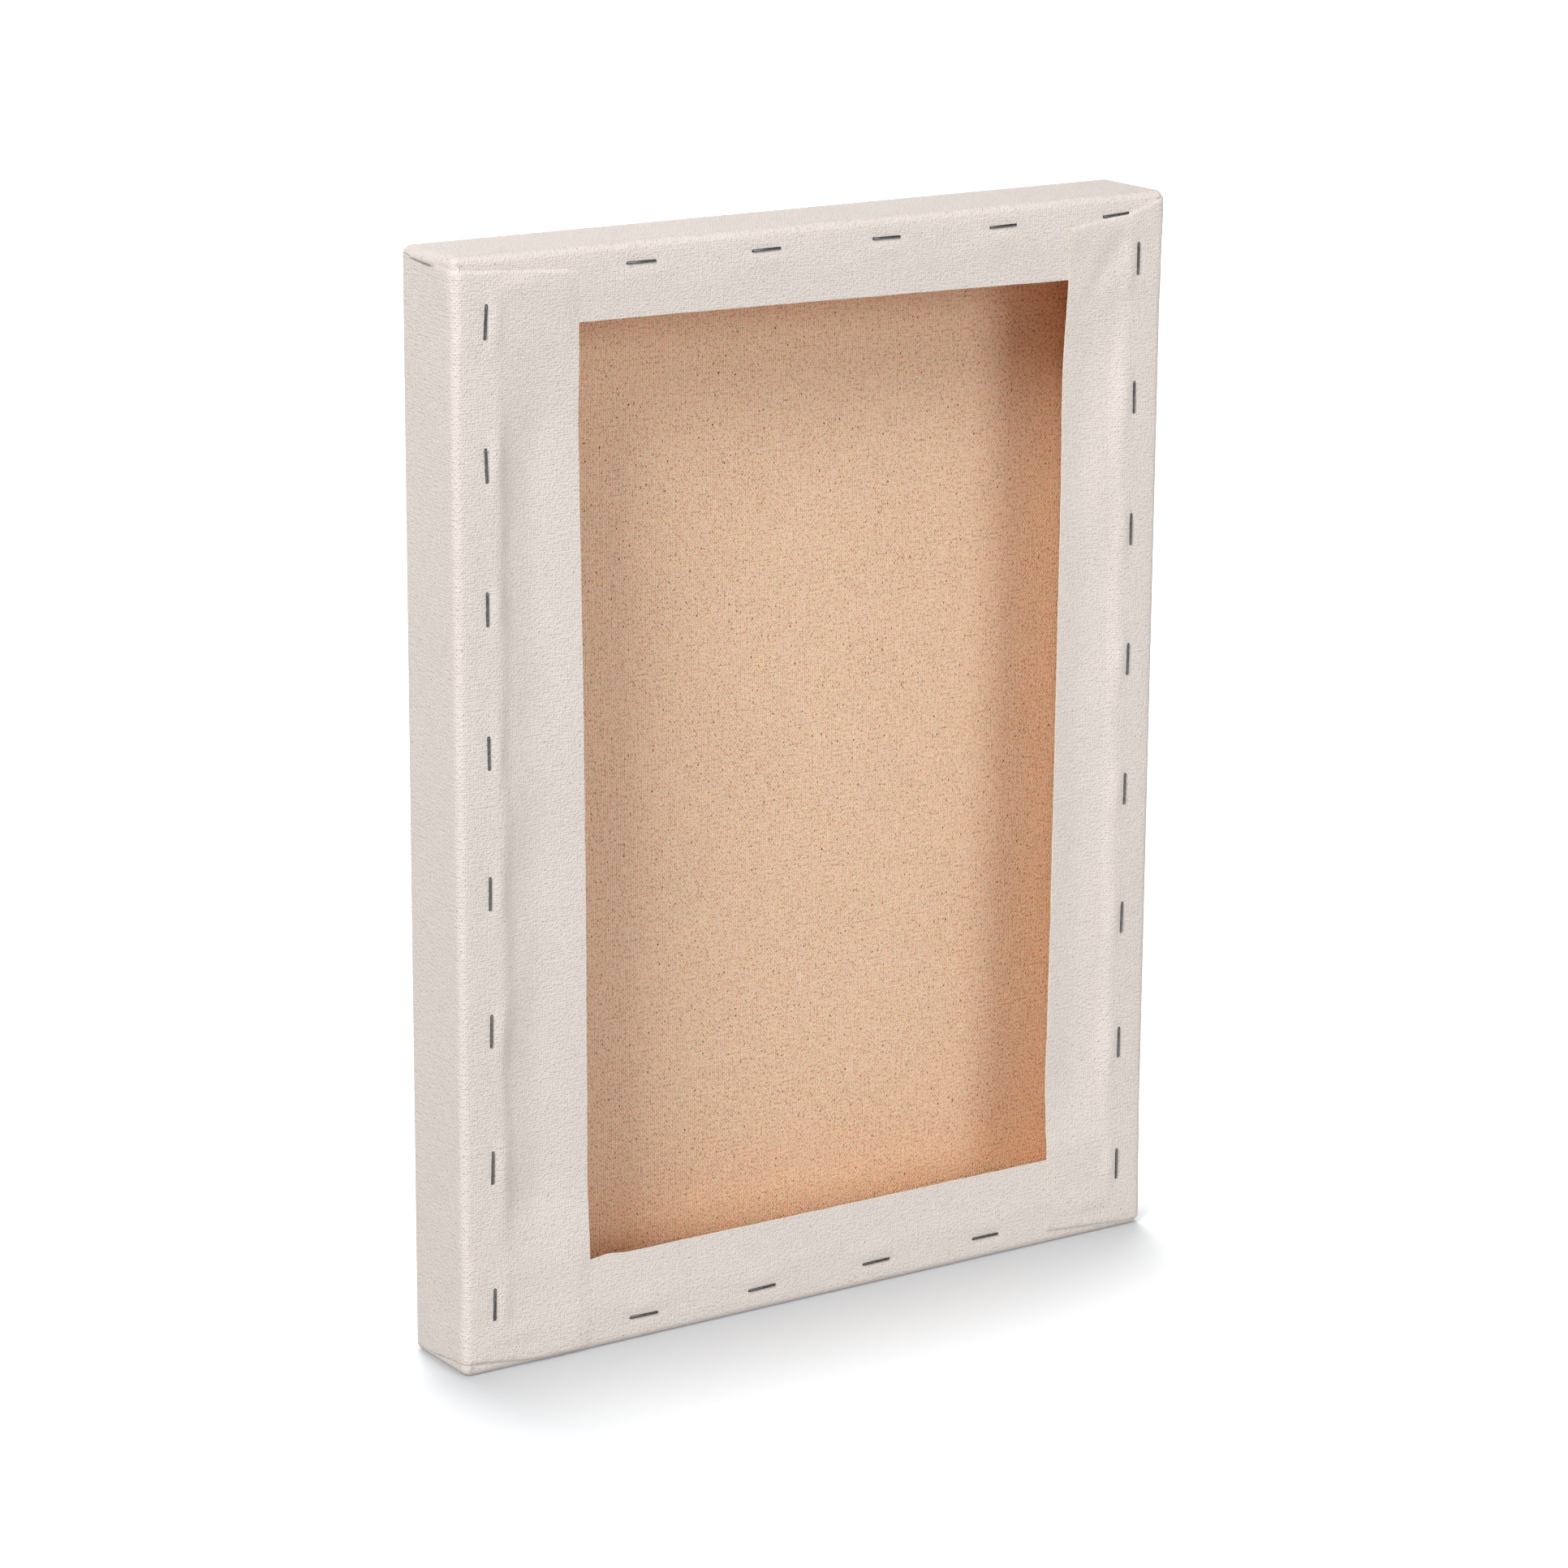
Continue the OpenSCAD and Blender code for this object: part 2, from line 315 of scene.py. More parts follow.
def backRelief(x, z):
    # how far the flaps stand off the backs of the bars, all layers alike
    fromSide = halfWidth - abs(x)
    fromTop = topZ - z
    fromBottom = z - bottomZ
    level = min(fromTop, fromBottom)
    edge = min(fromSide, level)
    height = -droopBehind(x, z, fromSide, level)
    pastEnds, across = cloth["wrinkleReach"]
    for side, start, end, rise, width in cloth["wrinkles"]:
        beside = (x < 0) == (side == "left") and fromSide < across
        if beside and start[1] - pastEnds < fromTop < end[1] + pastEnds:
            height += rise * crease(fromSide, fromTop, start, end, width)
    outer, inner = cloth["onBar"]
    onBar = ease(edge, *outer) * (1 - ease(edge - cloth["barWidth"], *inner))
    slack, mean, uneven, length, seed = cloth["slack"]
    height += slack * onBar * (mean + uneven * noise.noise(Vector((x / length, z / length, seed))))
    reach = cloth["stapleReach"]
    for side, sign in (("left", -1), ("right", 1)):
        if x * sign < halfWidth - reach:
            continue
        for sx, sz, turn in staples[side]:
            if abs(z - sz) <= reach:
                height += stapleRelief((sx - x) * sign, abs(z - sz), cloth["pucker"]["upright"], onBar)
    for side, sign, down in (("top", 1, fromTop), ("bottom", -1, fromBottom)):
        if down > reach:
            continue
        for sx, sz, turn in staples[side]:
            if abs(x - sx) <= reach:
                height += stapleRelief((sz - z) * sign, abs(x - sx), cloth["pucker"]["level"], onBar)
    return height


def onBack(a):
    # 0 on the side of the canvas, 1 on its back
    return ease(a, backArris, flapStart)


def seamOpen(a):
    # 0 where a corner is still one sheet, 1 where its layers have parted
    return ease(a, *cloth["seam"])


def lapOver(a):
    start, full, fading, end = cloth["topOver"]
    return ease(a, start, full) * (1 - ease(a, fading, end))


def coverRise(a, x, z):
    # side flaps ride over the tucked ends of the level wraps
    rise = 0.0
    for end, level in (("top", topZ), ("bottom", bottomZ)):
        down = abs(level - z)
        width = flapWidth(end, acrossWidth(x))
        start, stop = cloth["layerOnBack"]
        sideShare = 1 - ease(down, *cloth["layerOnSide"])
        backShare = 1 - ease(down, width + start, width + stop)
        lap = cloth["layer"] * (sideShare + (backShare - sideShare) * onBack(a))
        hem = cloth["hem"] * onBack(a) * (1 - ease(down, *cloth["hemEnd"]))
        rise += (lap + hem) * seamOpen(a)
    return rise


def cutWave(along, kind):
    # the cut edges aren't quite straight
    wave = 0.0
    for amount, length, seed in cloth["cutWaves"]:
        wave += amount * noise.noise(Vector((along / length, kind, seed)))
    return wave


def evenRows(low, high, gap, ends):
    inner = high - low - 2 * ends[-1]
    count = max(1, round(inner / gap))
    middle = [low + ends[-1] + inner * i / count for i in range(count + 1)]
    return [low + e for e in ends[:-1]] + middle + [high - e for e in reversed(ends[:-1])]


def flapSteps(width):
    closer, wider, change = cloth["flapRows"]
    first = max(1, round((change - outward) / closer))
    steps = [(change - outward) / first] * first
    rest = width - change
    if rest > 1:
        count = max(1, round(rest / wider))
        steps += [rest / count] * count
    return steps


def growRow(bm, edges, flat, flatStep):
    # one more row of cloth on an open edge
    made = bmesh.ops.extrude_edge_only(bm, edges=edges)["geom"]
    verts = [g for g in made if isinstance(g, bmesh.types.BMVert)]
    for v in verts:
        v[flat] = v[flat] + flatStep
    return verts, [g for g in made if isinstance(g, bmesh.types.BMEdge)]


def pushRow(bm, edges, shift, flat, flatStep):
    verts, edges = growRow(bm, edges, flat, flatStep)
    bmesh.ops.translate(bm, verts=verts, vec=shift)
    return verts, edges


def bendRow(bm, edges, centre, axis, angle, flat, flatStep):
    verts, edges = growRow(bm, edges, flat, flatStep)
    bmesh.ops.rotate(bm, verts=verts, cent=centre, matrix=Matrix.Rotation(angle, 3, axis))
    return verts, edges


def wrapEdge(bm, edges, side, flat, part, partId):
    # the sheet goes round the front arris, over the side, round the back arris and onto the back
    rows = cloth["bendRows"]
    upright = side in uprightSides
    sign = -1 if side in ("left", "bottom") else 1
    axis = "Z" if upright else "X"
    turn = (-sign if upright else sign) * math.pi / 2 / rows
    flatDirection = Vector((sign, 0, 0)) if upright else Vector((0, sign, 0))
    corner = Vector((sign * (halfWidth - bend), 0, 0)) if upright else \
        Vector((0, 0, topZ - bend if sign > 0 else bottomZ + bend))
    frontCentre = corner + Vector((0, frontY - bend, 0))
    backCentre = corner + Vector((0, backY + bend, 0))
    grown = []
    for i in range(rows):
        verts, edges = bendRow(bm, edges, frontCentre, axis, turn, flat, flatDirection * quarter / rows)
        grown += verts
    for i in range(cloth["sideRows"]):
        step = sideRun / cloth["sideRows"]
        verts, edges = pushRow(bm, edges, (0, -step, 0), flat, flatDirection * step)
        grown += verts
    for i in range(rows):
        verts, edges = bendRow(bm, edges, backCentre, axis, turn, flat, flatDirection * quarter / rows)
        grown += verts
    inward = Vector((-sign, 0, 0)) if upright else Vector((0, 0, -sign))
    for step in flapSteps(widest[side]):
        verts, edges = pushRow(bm, edges, inward * step, flat, flatDirection * step)
        grown += verts
    for v in grown:
        v[part] = partId


def tuckEnd(bm, level, side, flat, part, partId):
    # the end of a level wrap bends over the corner and goes down behind the side flap
    sign = -1 if side == "left" else 1
    upward = 1 if level == "top" else -1
    edgeX = sign * (halfWidth - bend)
    edgeZ = topZ - bend if upward > 0 else bottomZ + bend

    def onEnd(v):
        return abs(v.co.x - edgeX) < near and (v.co.z - edgeZ) * upward > -near

    def onPole(v):
        return abs(v.co.x - edgeX) < near and abs(v.co.z - edgeZ) < near

    edges = [e for e in bm.edges if e.is_boundary and all(onEnd(v) for v in e.verts)]
    rows = cloth["bendRows"]
    flatDirection = Vector((sign, 0, 0))
    everyVert = [v for e in edges for v in e.verts]
    for i in range(rows):
        verts, edges = bendRow(bm, edges, (edgeX, 0, edgeZ), "Y", sign * upward * math.pi / 2 / rows,
                               flat, flatDirection * quarter / rows)
        everyVert += verts
    for v in everyVert:
        if not onPole(v):
            v[part] = partId
    # the last row joins the side wrap as far as the corner seam, and the rest goes down behind it
    seamY = frontY - bend - cloth["seam"][0] + quarter
    last = set(v for e in edges for v in e.verts)
    onSide = [wraps.index(name) + 1 for name in uprightSides]
    joined = [v for v in bm.verts if abs(v.co.z - edgeZ) < near and v.co.y > seamY
              and (v in last or v[part] in onSide) and v.co.x * sign > 0]
    poles = [v for v in dict.fromkeys(everyVert) if onPole(v)]
    downEdges = [e for e in edges if any(v.co.y <= seamY for v in e.verts)]
    for share in cloth["tuckRows"]:
        step = cloth["tuck"] * share
        verts, downEdges = pushRow(bm, downEdges, (0, 0, -upward * step), flat, flatDirection * step)
        for v in verts:
            v[part] = partId + len(corners)
    frontPoles = [v for v in poles if v.co.y > 0]
    backPoles = [v for v in poles if v.co.y < 0]
    faceCorner = [v for v in bm.verts if onPole(v) and v.co.y > 0]
    bmesh.ops.remove_doubles(bm, verts=list(dict.fromkeys(joined + frontPoles + faceCorner)), dist=near)
    bmesh.ops.remove_doubles(bm, verts=[v for v in backPoles if v.is_valid], dist=near)


def shapeUpright(v, flat, kind):
    # a side wrap: its cut edge, its folded ends and what it lies on
    side = wraps[kind - 1]
    sign = -1 if side == "left" else 1
    x, y, z = v.co
    a = abs(v[flat].x) - (halfWidth - bend)
    if a > flapStart:
        share = (a - flapStart) / (widest[side] - outward)
        width = flapWidth(side, upHeight(z))
        x = sign * (halfWidth - bend - share * (width - outward + cutWave(z, kind) * share))
    b = min(topZ - bend - z, z - bottomZ - bend)       # from the nearer folded edge
    end = "top" if z > middleZ else "bottom"
    fold = side + " " + end
    over = lapOver(a) if fold == "left top" else 0.0
    lift = through(cloth["foldLines"][fold], a) + cloth["underLift"] * over
    z += lift * (1 - ease(b, 0, cloth["foldReach"])) * (1 if end == "top" else -1)
    height = coverRise(a, x, z) * (1 - over)
    flapEnd = flapStart + widest[side] - outward
    height *= 1 - cloth["edgePress"][side] * ease(a, flapEnd - cloth["edgeRun"], flapEnd)
    past = max(0.0, z - topZ + bend, bottomZ + bend - z)
    height -= bend - math.sqrt(max(0.0, bend * bend - past * past))     # follows the arris
    sidePress, backPress = cloth["foldPress"][fold]
    press = sidePress + (backPress + cloth["hem"] - sidePress) * onBack(a)
    closeness = max(0.0, 1 - b / cloth["foldRun"])
    height -= press * closeness * closeness * seamOpen(a)
    if a > backArris:
        height += backRelief(x, z) * ease(a, backArris, flapStart + cloth["reliefRun"])
    else:
        ripple, across, along, full = cloth["sideRipple"]
        height += ripple * noise.noise(Vector((y / across, z / along, kind))) * ease(a, quarter, full)
    return Vector((x, y, z)), height


def shapeLevel(v, flat, kind):
    # the top or bottom wrap
    side = wraps[kind - 1]
    sign = 1 if side == "top" else -1
    edge = topZ - bend if side == "top" else bottomZ + bend
    x, y, z = v.co
    a = abs(v[flat].y - edge)
    if a > flapStart:
        share = (a - flapStart) / (widest[side] - outward)
        wave = cutWave(x, kind)
        if side == "bottom":
            depth, place, width = cloth["nick"]
            wave += depth * hump(x + halfWidth - place, width)
        z = edge - sign * share * (flapWidth(side, acrossWidth(x)) - outward + wave * share)
    height = 0.0
    if a > backArris:
        height += backRelief(x, z) * ease(a, backArris, flapStart + cloth["reliefRun"])
    return Vector((x, y, z)), height


def shapeCorner(v, kind):
    x, y, z = v.co
    a = frontY - bend - y + quarter
    tucked = kind >= firstTucked
    height = 0.0
    if tucked:
        height -= cloth["layer"] * (1 - seamOpen(a))
    if corners[(kind - firstCorner) % len(corners)] == ("top", "left"):
        over = lapOver(a)
        if tucked:
            row = round((topZ - bend - z) / cloth["tuck"] * 4)    # 1, 2 or 4 on the rows behind the fold
            level, rise = cloth["turnedRows"][min(row, 3) - 1]
            seam = topZ - bend + through(cloth["foldLines"]["left top"], a)
            z += (seam + level - z) * over
            height += (rise - height) * over
        else:
            height += cloth["turnedRows"][0][1] * over * ease(topZ - z, *cloth["turnedRise"])
    return Vector((x, y, z)), height


def shapeSheet(bm, flat, part):
    bm.normal_update()
    for v in bm.verts:
        kind = v[part]
        if kind == 0:
            continue     # the face stays flat
        if kind >= firstCorner:
            place, height = shapeCorner(v, kind)
        elif wraps[kind - 1] in uprightSides:
            place, height = shapeUpright(v, flat, kind)
        else:
            place, height = shapeLevel(v, flat, kind)
        v.co = place + v.normal * height


def linkPiece(bm, name):
    mesh = bpy.data.meshes.new(name)
    bm.to_mesh(mesh)
    bm.free()
    piece = bpy.data.objects.new(name, mesh)
    scene.collection.objects.link(piece)
    return piece


def makeSheet():
    bm = bmesh.new()
    flat = bm.verts.layers.float_vector.new("flat")
    part = bm.verts.layers.int.new("part")
    xRows = evenRows(-halfWidth + bend, halfWidth - bend, cloth["rowGap"], cloth["sideEnds"])
    zRows = evenRows(bottomZ + bend, topZ - bend, cloth["rowGap"], cloth["foldEnds"])
    bmesh.ops.create_grid(bm, x_segments=len(xRows) - 1, y_segments=len(zRows) - 1, size=1)
    for v in bm.verts:
        i = round((v.co.x + 1) / 2 * (len(xRows) - 1))
        j = round((v.co.y + 1) / 2 * (len(zRows) - 1))
        v.co = (xRows[i], frontY, zRows[j])
        v[flat] = (xRows[i], zRows[j], 0)
    openEdges = [e for e in bm.edges if e.is_boundary]
    sides = {
        "left": [e for e in openEdges if all(abs(v.co.x - xRows[0]) < near for v in e.verts)],
        "right": [e for e in openEdges if all(abs(v.co.x - xRows[-1]) < near for v in e.verts)],
        "top": [e for e in openEdges if all(abs(v.co.z - zRows[-1]) < near for v in e.verts)],
        "bottom": [e for e in openEdges if all(abs(v.co.z - zRows[0]) < near for v in e.verts)],
    }
    for partId, side in enumerate(wraps, 1):
        wrapEdge(bm, sides[side], side, flat, part, partId)
    for partId, (level, side) in enumerate(corners, firstCorner):
        tuckEnd(bm, level, side, flat, part, partId)
    bmesh.ops.dissolve_degenerate(bm, dist=hair, edges=bm.edges)
    bmesh.ops.recalc_face_normals(bm, faces=bm.faces)
    bm.faces.ensure_lookup_table()
    face = max(bm.faces, key=lambda f: f.calc_center_median().y)
    if face.normal.y < 0:
        bmesh.ops.reverse_faces(bm, faces=bm.faces)
    shapeSheet(bm, flat, part)
    bmesh.ops.scale(bm, vec=(mm, mm, mm), verts=bm.verts)
    uv = bm.loops.layers.uv.new("flatSheet")
    for f in bm.faces:
        f.smooth = True
        for loop in f.loops:
            loop[uv].uv = (loop.vert[flat].x * mm, loop.vert[flat].y * mm)
    # the cut edges stay crisp
    for axis in (0, 1):
        reach = [v[flat][axis] for v in bm.verts]
        for limit in (max(reach), min(reach)):
            for e in bm.edges:
                if e.is_boundary and all(abs(v[flat][axis] - limit) < near for v in e.verts):
                    e.smooth = False
    piece = linkPiece(bm, "clothSheet")
    thicken = piece.modifiers.new("thickness", "SOLIDIFY")
    thicken.thickness = cloth["thick"] * mm
    thicken.offset = 0
    thicken.use_rim = True
    thicken.material_offset = 1
    thicken.material_offset_rim = 2
    return piece


clothSheet = makeSheet()
print("cloth sheet:", len(clothSheet.data.polygons), "faces before thickness")


def addNode(tree, kind, sockets=None, **props):
    made = tree.nodes.new("ShaderNode" + kind)
    for name, value in props.items():
        setattr(made, name, value)
    for name, value in (sockets or {}).items():
        if isinstance(value, bpy.types.NodeSocket):
            tree.links.new(value, made.inputs[name])
        else:
            made.inputs[name].default_value = value
    return made


def newMaterial(name, sockets):
    material = bpy.data.materials.new(name)
    material.use_nodes = True
    tree = material.node_tree
    shader = tree.nodes["Principled BSDF"]
    for socket, value in sockets.items():
        shader.inputs[socket].default_value = value
    return material, tree, shader


def mathNode(tree, operation, *values):
    return addNode(tree, "Math", dict(enumerate(values)), operation=operation).outputs[0]


def timesPlus(tree, value, factor, added):
    return mathNode(tree, "MULTIPLY_ADD", value, factor, added)


def mapped(tree, coords, scale):
    return addNode(tree, "Mapping", {"Vector": coords, "Scale": scale}).outputs[0]


def speckle(tree, coords, scale, detail):
    return addNode(tree, "TexNoise", {"Vector": coords, "Scale": scale, "Detail": detail}).outputs["Fac"]


def ranged(tree, value, low, high):
    return addNode(tree, "MapRange", {"Value": value, "To Min": low, "To Max": high}).outputs[0]


def ramp(tree, factor, stops):
    made = addNode(tree, "ValToRGB", {"Fac": factor})
    elements = made.color_ramp.elements
    for element, (place, colour) in zip(elements, (stops[0], stops[-1])):
        element.position = place
        element.color = (*colour, 1)
    for place, colour in stops[1:-1]:
        elements.new(place).color = (*colour, 1)
    return made.outputs["Color"]


def addBump(tree, shader, height, distance, strength):
    bump = addNode(tree, "Bump", {"Height": height, "Distance": distance, "Strength": strength})
    tree.links.new(bump.outputs[0], shader.inputs["Normal"])


# what the three finishes of the cloth share, with scales per metre
cotton = {
    "strayScale": 320.0,                 # threads wander a little
    "warpRound": 0.6,                    # below 1 the upright threads are fuller than the level ones
    "grainScale": 1000.0,
    "grainRange": (0.25, 0.75),
    "slubScales": ((160, 1300, 1), (1300, 130, 1)),    # on level threads, on upright threads
    "cloudScale": 28.0,
    "cloudDetail": 4.0,
    "fleckShape": (1, 0.65, 1),
    "fleckLeast": 0.5,                   # smallest fleck against the largest
    "fleckFaint": 1.4,                   # above 1 most of them are faint
    "sheenRoughness": 0.5,
    "glowRadius": (1.1, 0.58, 0.26),     # most of the light that comes through is warm
    "glowScale": 0.0008,
}
# threads: gaps of the upright and level ones in metres, height share of the level ones, wander in metres
primedLook = {
    "threads": (0.00060, 0.00092, 0.6, 0.0002),
    "roughness": 0.85, "gloss": 0.25, "sheen": 0.05, "glow": 0.0,
    "grain": 0.7, "pebble": 0.45, "slubHeight": 0.3, "gapShadeTone": 0.17, "slubTone": 0.10, "cloudTone": 0.08,
    "tones": ((0.05, (0.60, 0.53, 0.485)), (0.28, (0.775, 0.70, 0.655)), (0.65, (0.855, 0.78, 0.74))),
    "fleckScale": 700, "fleckShare": 0.14, "fleckSize": 0.15, "fleck": (0.30, 0.24, 0.21),
    "relief": 0.00019,
}
rawLook = {
    "threads": (0.00060, 0.00092, 0.43, 0.0002),
    "roughness": 0.95, "gloss": 0.1, "sheen": 0.12, "glow": 0.6,
    "grain": 0.6, "pebble": 0.0, "slubHeight": 0.3, "gapShadeTone": 1.0, "slubTone": 0.18, "cloudTone": 0.08,
    "tones": ((0.25, (0.50, 0.29, 0.15)), (0.55, (0.867, 0.635, 0.45)), (1.0, (0.985, 0.847, 0.678))),
    "fleckScale": 420, "fleckShare": 0.58, "fleckSize": 0.12, "fleck": (0.10, 0.042, 0.015),
    "relief": 0.00055,
}
cutLook = {
    "threads": (0.0005, 0.0005, 0.9, 0.0002),
    "roughness": 0.95, "gloss": 0.1, "sheen": 0.2, "glow": 0.7,
    "grain": 0.5, "pebble": 0.3, "slubHeight": 0.7, "gapShadeTone": 0.5, "slubTone": 0.2, "cloudTone": 0.15,
    "tones": ((0.1, (0.55, 0.44, 0.32)), (0.45, (0.74, 0.64, 0.50)), (0.8, (0.82, 0.74, 0.61))),
    "fleckScale": 230, "fleckShare": 0.03, "fleckSize": 0.12, "fleck": (0.2, 0.1, 0.05),
    "relief": 0.0001,
}


def weaveHeight(tree, coords, warpGap, weftGap, weftShare, stray):
    # plain weave: each upright thread goes over one level thread and under the next
    wander = addNode(tree, "TexNoise", {"Vector": coords, "Scale": cotton["strayScale"], "Detail": 0.0})
    middle = (0.5, 0.5, 0.5)
    shift = addNode(tree, "VectorMath", {0: wander.outputs["Color"], 1: middle}, operation="SUBTRACT")
    small = addNode(tree, "VectorMath", {0: shift.outputs[0], "Scale": stray}, operation="SCALE")
    moved = addNode(tree, "VectorMath", {0: coords, 1: small.outputs[0]}, operation="ADD")
    turned = mapped(tree, moved.outputs[0], (math.pi / warpGap, math.pi / weftGap, 1))
    axes = addNode(tree, "SeparateXYZ", {0: turned})
    warp = mathNode(tree, "SINE", axes.outputs["X"])
    weft = mathNode(tree, "SINE", axes.outputs["Y"])
    crossing = mathNode(tree, "MULTIPLY", warp, weft)
    over = timesPlus(tree, crossing, 0.5, 0.5)
    under = timesPlus(tree, crossing, -0.5, 0.5)
    warpRound = mathNode(tree, "POWER", mathNode(tree, "ABSOLUTE", warp), cotton["warpRound"])
    warpHeight = mathNode(tree, "MULTIPLY", warpRound, over)
    weftRound = mathNode(tree, "ABSOLUTE", weft)
    weftHeight = mathNode(tree, "MULTIPLY", weftRound, mathNode(tree, "MULTIPLY", under, weftShare))
    return mathNode(tree, "MAXIMUM", warpHeight, weftHeight)


def fleckMask(tree, coords, look):
    # flecks of seed husk left in the cotton, most of them faint
    longer = mapped(tree, coords, cotton["fleckShape"])
    flecks = addNode(tree, "TexVoronoi", {"Vector": longer, "Scale": look["fleckScale"], "Randomness": 1.0},
                     voronoi_dimensions="2D")
    chance = addNode(tree, "SeparateColor", {0: flecks.outputs["Color"]})
    chosen = mathNode(tree, "LESS_THAN", chance.outputs["Red"], look["fleckShare"])
    size = look["fleckSize"]
    radius = ranged(tree, chance.outputs["Green"], size * cotton["fleckLeast"], size)
    inside = mathNode(tree, "LESS_THAN", flecks.outputs["Distance"], radius)
    dark = mathNode(tree, "POWER", chance.outputs["Blue"], cotton["fleckFaint"])
    return mathNode(tree, "MULTIPLY", mathNode(tree, "MULTIPLY", chosen, inside), dark)


def makeCloth(name, look):
    material, tree, shader = newMaterial(name, {
        "Roughness": look["roughness"],
        "Specular IOR Level": look["gloss"],
        "Sheen Weight": look["sheen"],
        "Sheen Roughness": cotton["sheenRoughness"],
        "Subsurface Weight": look["glow"],       # some light comes through the cloth
        "Subsurface Radius": cotton["glowRadius"],
        "Subsurface Scale": cotton["glowScale"],
    })
    coords = addNode(tree, "UVMap", uv_map="flatSheet").outputs["UV"]
    weave = weaveHeight(tree, coords, *look["threads"])
    # no two crossings are quite alike
    grain = speckle(tree, coords, cotton["grainScale"], 0.0)
    low, high = cotton["grainRange"]
    uneven = addNode(tree, "MapRange", {
        "Value": grain, "From Min": low, "From Max": high,
        "To Min": 1 - look["grain"], "To Max": 1 + look["grain"]}).outputs[0]
    weave = mathNode(tree, "MULTIPLY", weave, uneven)
    weave = timesPlus(tree, grain, look["pebble"], weave)
    # slubs: longer, thicker stretches of single threads both ways
    slubs = [speckle(tree, mapped(tree, coords, scale), 1.0, 0.0) for scale in cotton["slubScales"]]
    slubs = mathNode(tree, "ADD", *slubs)
    clouds = speckle(tree, coords, cotton["cloudScale"], cotton["cloudDetail"])
    # tone rises with the weave's height, so the low gaps between threads come out darker: the cloth's own
    # colour there, with painted shade in the gaps
    tone = mathNode(tree, "MULTIPLY", weave, look["gapShadeTone"])
    tone = timesPlus(tree, slubs, look["slubTone"], tone)
    tone = timesPlus(tree, clouds, look["cloudTone"], tone)
    colour = ramp(tree, tone, look["tones"])
    fleck = fleckMask(tree, coords, look)
    mixed = addNode(tree, "Mix", {"Factor": fleck, 6: colour, 7: (*look["fleck"], 1)}, data_type="RGBA")
    tree.links.new(mixed.outputs[2], shader.inputs["Base Color"])
    addBump(tree, shader, timesPlus(tree, slubs, look["slubHeight"], weave), look["relief"], 1.0)
    return material


for name, look in (("primedCloth", primedLook), ("rawCloth", rawLook), ("cutThreads", cutLook)):
    clothSheet.data.materials.append(makeCloth(name, look))
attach(clothSheet, "root")
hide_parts("cloth")


def bendWire(bm, wireFaces, centre):
    # spin the open end of the wire round a shoulder
    made = bmesh.ops.spin(bm, geom=wireFaces, cent=centre, axis=(0, 0, 1), dvec=(0, 0, 0),
                          angle=math.pi / 2, steps=stapleRows["shoulderSteps"],
                          use_duplicate=False)["geom_last"]
    bmesh.ops.delete(bm, geom=[f for f in wireFaces if f.is_valid], context="FACES_ONLY")
    return [g for g in made if isinstance(g, bmesh.types.BMFace)]


def pushWire(bm, wireFaces, shift, closed=False):
    made = bmesh.ops.extrude_face_region(bm, geom=wireFaces)["geom"]
    if not closed:
        bmesh.ops.delete(bm, geom=wireFaces, context="FACES_ONLY")
    verts = [g for g in made if isinstance(g, bmesh.types.BMVert)]
    bmesh.ops.translate(bm, verts=verts, vec=shift)
    return [g for g in made if isinstance(g, bmesh.types.BMFace)]


def addStaple(bm, place):
    across, proud = stapleRows["wire"]
    leg = stapleRows["leg"]
    reach = stapleRows["crown"] / 2 - proud / 2      # middle of the leg from the middle of the crown
    radius = stapleRows["shoulder"] - proud / 2
    before = set(bm.verts)
    # flat wire: a square with rounded corners, drawn out
    ring = bmesh.ops.create_circle(bm, cap_ends=True, segments=4, radius=math.sqrt(0.5))["verts"]
    bmesh.ops.rotate(bm, verts=ring, cent=(0, 0, 0), matrix=Matrix.Rotation(math.pi / 4, 3, "Z"))
    bmesh.ops.scale(bm, verts=ring, vec=(proud, across, 1))
    ring = bmesh.ops.bevel(bm, geom=ring, affect="VERTICES", offset=stapleRows["round"],
                           segments=stapleRows["roundSteps"], profile=0.5, material=-1)["verts"]
    bmesh.ops.rotate(bm, verts=ring, cent=(0, 0, 0), matrix=Matrix.Rotation(math.pi / 2, 3, "X"))
    bmesh.ops.translate(bm, verts=ring, vec=(-reach, leg, 0))
    face = list({f for v in ring for f in v.link_faces})
    face = pushWire(bm, face, (0, -leg + radius, 0), closed=True)
    face = bendWire(bm, face, (-reach + radius, radius, 0))
    face = pushWire(bm, face, (2 * (reach - radius), 0, 0))
    face = bendWire(bm, face, (reach - radius, radius, 0))
    pushWire(bm, face, (0, leg - radius, 0))
    verts = [v for v in bm.verts if v not in before]
    bmesh.ops.transform(bm, matrix=place, verts=verts)


def surfaceOut(side, x, z):
    out = backRelief(x, z)
    if side in uprightSides:
        out += coverRise(flapStart, x, z)
    return out


def makeStaples(side):
    bm = bmesh.new()
    for i, (x, z, turn) in enumerate(staples[side]):
        sunk = stapleRows["sunk"][i in stapleRows["covered"].get(side, ())]
        y = backY - cloth["thick"] / 2 - surfaceOut(side, x, z) - stapleRows["wire"][1] / 2 + sunk
        spin = math.radians(turn + (90 if side in uprightSides else 0))
        addStaple(bm, Matrix.Translation((x, y, z)) @ Matrix.Rotation(spin, 4, "Y"))
    bmesh.ops.remove_doubles(bm, verts=bm.verts, dist=hair)
    bmesh.ops.recalc_face_normals(bm, faces=bm.faces)
    bmesh.ops.scale(bm, vec=(mm, mm, mm), verts=bm.verts)
    for f in bm.faces:
        f.smooth = len(f.verts) == 4
    piece = linkPiece(bm, "staples" + side.capitalize())
    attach(piece, "root")
    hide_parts("staples_" + side)
    return piece


